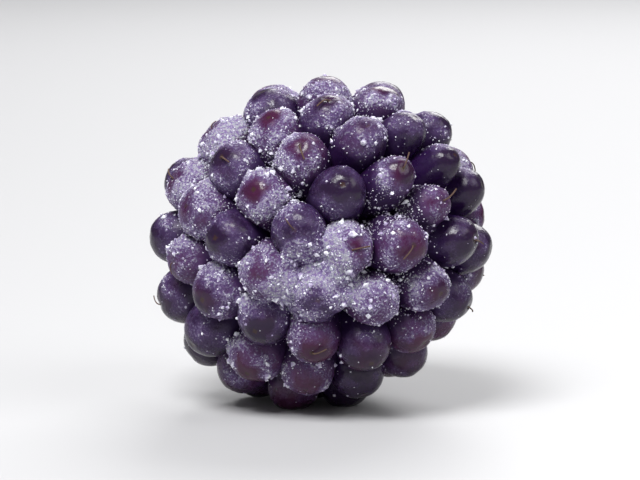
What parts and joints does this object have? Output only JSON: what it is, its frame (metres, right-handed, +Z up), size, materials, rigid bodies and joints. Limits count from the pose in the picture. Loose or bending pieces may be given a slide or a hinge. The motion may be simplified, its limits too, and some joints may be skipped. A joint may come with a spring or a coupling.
{
  "type": "bramble berry",
  "caption": "Bramble berry, picked and frozen: a nearly round head of plump fused drupelets round a bare pale stem end, lying on its side on small flats.",
  "frame": {"origin": "middle of the berry's outline seen from above, level with the small flats that it lies on", "axes": "+Z up; the berry's tip points to +X and -Y and leans up from the ground, its bare stem end to -X and +Y and down"},
  "size_m": [0.025, 0.0244, 0.0243],
  "materials": {
    "drupelet_skin": "satin",
    "receptacle_flesh": "matte",
    "frost": "satin",
    "dry_styles": "matte"
  },
  "bodies": {
    "root": {"berry": "drupelet_skin"}
  },
  "joints": []
}
